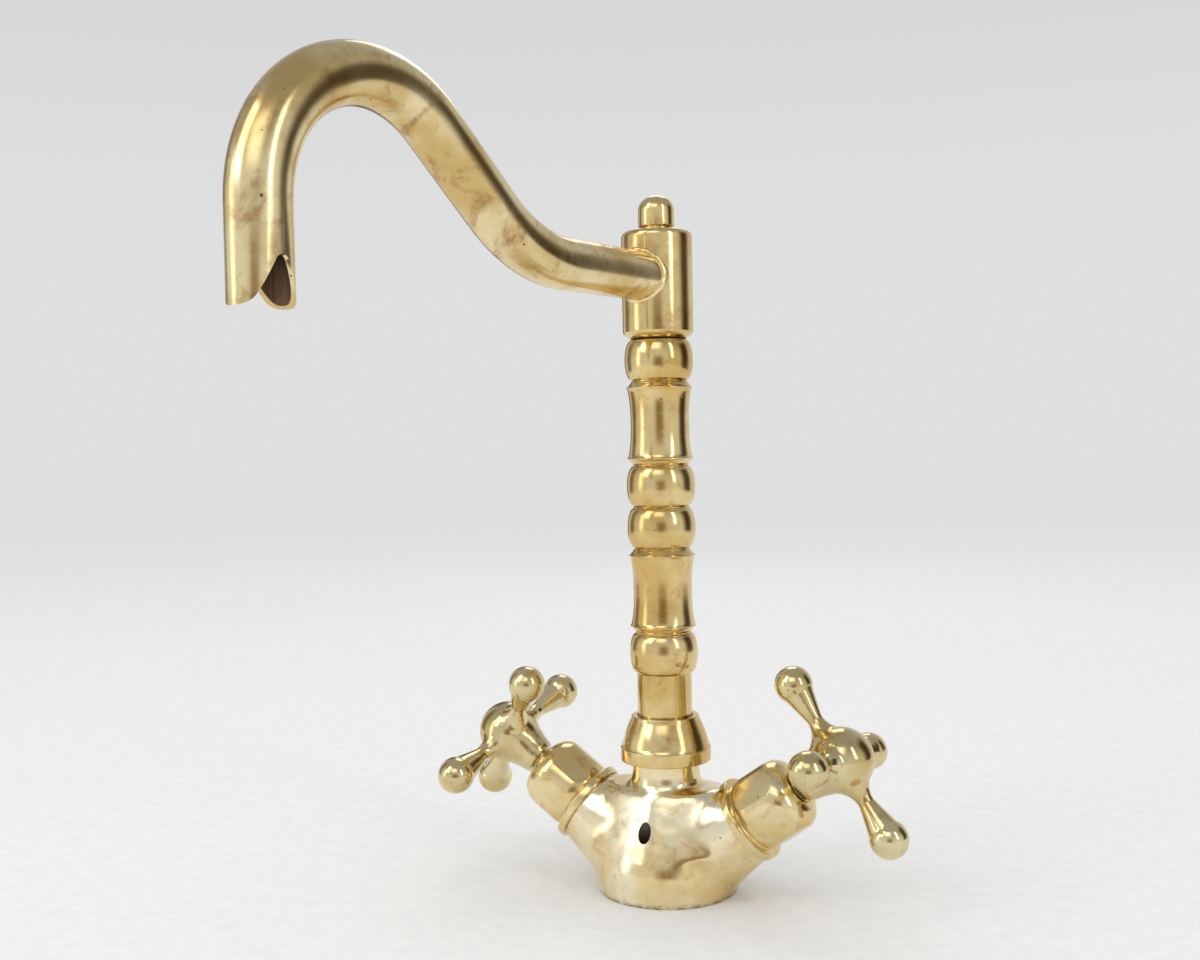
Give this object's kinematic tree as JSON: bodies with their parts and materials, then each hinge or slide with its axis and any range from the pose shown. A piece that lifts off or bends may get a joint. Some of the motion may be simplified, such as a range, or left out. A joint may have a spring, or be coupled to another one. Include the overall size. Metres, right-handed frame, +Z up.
{
  "type": "bathroom sink faucet",
  "caption": "One-hole basin mixer in polished brass: round foot, two inclined valve arms with cross handles, turned column and swivelling swan-neck spout with a notched outlet.",
  "frame": {"origin": "middle of the base's underside, on the upright axis of the column and of the stud hole; the base stands on z = 0", "axes": "+Z up along the column, -Y towards the user at the front, +X towards the cold handle and -X towards the hot handle; the stored spout points 10 degrees from the front towards the hot side, as pictured"},
  "size_m": [0.1765, 0.2244, 0.2731],
  "materials": {
    "polished_brass": "polished, slightly tarnished",
    "bright_brass": "machined",
    "rubber": "matte",
    "nylon": "matte",
    "ceramic": "lapped",
    "steel": "satin"
  },
  "bodies": {
    "base": {"mixer_body": "polished_brass", "base_gasket": "rubber", "collar_nut": "polished_brass", "slip_ring": "nylon", "hot_bonnet": "polished_brass", "hot_cartridge": "bright_brass", "hot_cartridge_ring": "rubber", "hot_seat_seal": "rubber", "hot_fixed_disc": "ceramic", "cold_bonnet": "polished_brass", "cold_cartridge": "bright_brass", "cold_cartridge_ring": "rubber", "cold_seat_seal": "rubber", "cold_fixed_disc": "ceramic"},
    "spout": {"column": "polished_brass", "upper_spigot_ring": "rubber", "lower_spigot_ring": "rubber", "spout_hub": "polished_brass", "swan_neck_spout": "polished_brass", "braze_bead": "bright_brass", "finial": "polished_brass"},
    "hot_handle": {"hot_cross_handle": "polished_brass", "hot_spindle": "bright_brass", "hot_moving_disc": "ceramic", "hot_glide_washer": "nylon", "hot_spindle_ring": "rubber", "hot_circlip": "steel", "hot_grub_screw": "steel"},
    "cold_handle": {"cold_cross_handle": "polished_brass", "cold_spindle": "bright_brass", "cold_moving_disc": "ceramic", "cold_glide_washer": "nylon", "cold_spindle_ring": "rubber", "cold_circlip": "steel", "cold_grub_screw": "steel"}
  },
  "joints": [
    {"name": "spout_swivel", "type": "hinge", "parent": "base", "child": "spout", "pos_m": [0, 0, 0.047], "axis": [0, 0, 1], "continuous": true},
    {"name": "hot_valve", "type": "hinge", "parent": "base", "child": "hot_handle", "pos_m": [0, 0, 0.0054], "axis": [-0.8131, 0, 0.5821], "range_deg": [0, 90]},
    {"name": "cold_valve", "type": "hinge", "parent": "base", "child": "cold_handle", "pos_m": [0, 0, 0.0054], "axis": [0.8131, 0, 0.5821], "range_deg": [-90, 0]}
  ]
}
